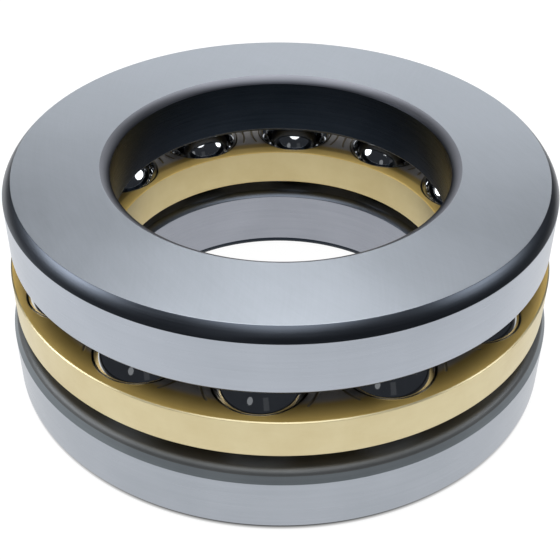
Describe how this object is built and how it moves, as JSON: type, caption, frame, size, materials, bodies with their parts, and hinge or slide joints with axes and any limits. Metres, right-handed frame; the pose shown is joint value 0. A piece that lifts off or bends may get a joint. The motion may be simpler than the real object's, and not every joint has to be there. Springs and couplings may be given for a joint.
{
  "type": "thrust ball bearing",
  "caption": "Single-direction thrust ball bearing: a steel shaft washer rolls on polished balls held by a machined brass cage above a steel housing washer.",
  "frame": {"origin": "on the bearing axis, in the housing washer's seat face at the bottom", "axes": "+Z along the bearing axis from the housing washer to the shaft washer; -Y towards the side nearest ball_01"},
  "size_m": [0.25, 0.25, 0.0999],
  "materials": {
    "ring_steel": "satin",
    "cage_brass": "satin",
    "ball_steel": "gloss"
  },
  "bodies": {
    "housing_washer": {"housing_washer": "ring_steel"},
    "shaft_washer": {"shaft_washer": "ring_steel"},
    "cage": {"cage": "cage_brass"},
    "ball_01": {"ball_01": "ball_steel"},
    "ball_02": {"ball_02": "ball_steel"},
    "ball_03": {"ball_03": "ball_steel"},
    "ball_04": {"ball_04": "ball_steel"},
    "ball_05": {"ball_05": "ball_steel"},
    "ball_06": {"ball_06": "ball_steel"},
    "ball_07": {"ball_07": "ball_steel"},
    "ball_08": {"ball_08": "ball_steel"},
    "ball_09": {"ball_09": "ball_steel"},
    "ball_10": {"ball_10": "ball_steel"},
    "ball_11": {"ball_11": "ball_steel"},
    "ball_12": {"ball_12": "ball_steel"}
  },
  "joints": [
    {"name": "shaft_washer_spin", "type": "hinge", "parent": "housing_washer", "child": "shaft_washer", "pos_m": [0, 0, 0.04996], "axis": [0, 0, 1], "continuous": true},
    {"name": "cage_spin", "type": "hinge", "parent": "housing_washer", "child": "cage", "pos_m": [0, 0, 0.04996], "axis": [0, 0, 1], "continuous": true},
    {"name": "ball_01_spin", "type": "hinge", "parent": "cage", "child": "ball_01", "pos_m": [-0.00742, -0.09872, 0.04996], "axis": [-0.075, -0.9972, 0], "continuous": true},
    {"name": "ball_02_spin", "type": "hinge", "parent": "cage", "child": "ball_02", "pos_m": [0.04293, -0.08921, 0.04996], "axis": [0.4337, -0.9011, 0], "continuous": true},
    {"name": "ball_03_spin", "type": "hinge", "parent": "cage", "child": "ball_03", "pos_m": [0.08178, -0.05579, 0.04996], "axis": [0.8261, -0.5635, 0], "continuous": true},
    {"name": "ball_04_spin", "type": "hinge", "parent": "cage", "child": "ball_04", "pos_m": [0.09872, -0.00742, 0.04996], "axis": [0.9972, -0.075, 0], "continuous": true},
    {"name": "ball_05_spin", "type": "hinge", "parent": "cage", "child": "ball_05", "pos_m": [0.08921, 0.04293, 0.04996], "axis": [0.9011, 0.4337, 0], "continuous": true},
    {"name": "ball_06_spin", "type": "hinge", "parent": "cage", "child": "ball_06", "pos_m": [0.05579, 0.08178, 0.04996], "axis": [0.5635, 0.8261, 0], "continuous": true},
    {"name": "ball_07_spin", "type": "hinge", "parent": "cage", "child": "ball_07", "pos_m": [0.00742, 0.09872, 0.04996], "axis": [0.075, 0.9972, 0], "continuous": true},
    {"name": "ball_08_spin", "type": "hinge", "parent": "cage", "child": "ball_08", "pos_m": [-0.04293, 0.08921, 0.04996], "axis": [-0.4337, 0.9011, 0], "continuous": true},
    {"name": "ball_09_spin", "type": "hinge", "parent": "cage", "child": "ball_09", "pos_m": [-0.08178, 0.05579, 0.04996], "axis": [-0.8261, 0.5635, 0], "continuous": true},
    {"name": "ball_10_spin", "type": "hinge", "parent": "cage", "child": "ball_10", "pos_m": [-0.09872, 0.00742, 0.04996], "axis": [-0.9972, 0.075, 0], "continuous": true},
    {"name": "ball_11_spin", "type": "hinge", "parent": "cage", "child": "ball_11", "pos_m": [-0.08921, -0.04293, 0.04996], "axis": [-0.9011, -0.4337, 0], "continuous": true},
    {"name": "ball_12_spin", "type": "hinge", "parent": "cage", "child": "ball_12", "pos_m": [-0.05579, -0.08178, 0.04996], "axis": [-0.5635, -0.8261, 0], "continuous": true}
  ],
  "couplings": [
    {"joint": "cage_spin", "follows": "shaft_washer_spin", "ratio": 0.5},
    {"joint": "ball_01_spin", "follows": "shaft_washer_spin", "ratio": -2.3985},
    {"joint": "ball_02_spin", "follows": "shaft_washer_spin", "ratio": -2.3985},
    {"joint": "ball_03_spin", "follows": "shaft_washer_spin", "ratio": -2.3985},
    {"joint": "ball_04_spin", "follows": "shaft_washer_spin", "ratio": -2.3985},
    {"joint": "ball_05_spin", "follows": "shaft_washer_spin", "ratio": -2.3985},
    {"joint": "ball_06_spin", "follows": "shaft_washer_spin", "ratio": -2.3985},
    {"joint": "ball_07_spin", "follows": "shaft_washer_spin", "ratio": -2.3985},
    {"joint": "ball_08_spin", "follows": "shaft_washer_spin", "ratio": -2.3985},
    {"joint": "ball_09_spin", "follows": "shaft_washer_spin", "ratio": -2.3985},
    {"joint": "ball_10_spin", "follows": "shaft_washer_spin", "ratio": -2.3985},
    {"joint": "ball_11_spin", "follows": "shaft_washer_spin", "ratio": -2.3985},
    {"joint": "ball_12_spin", "follows": "shaft_washer_spin", "ratio": -2.3985}
  ]
}
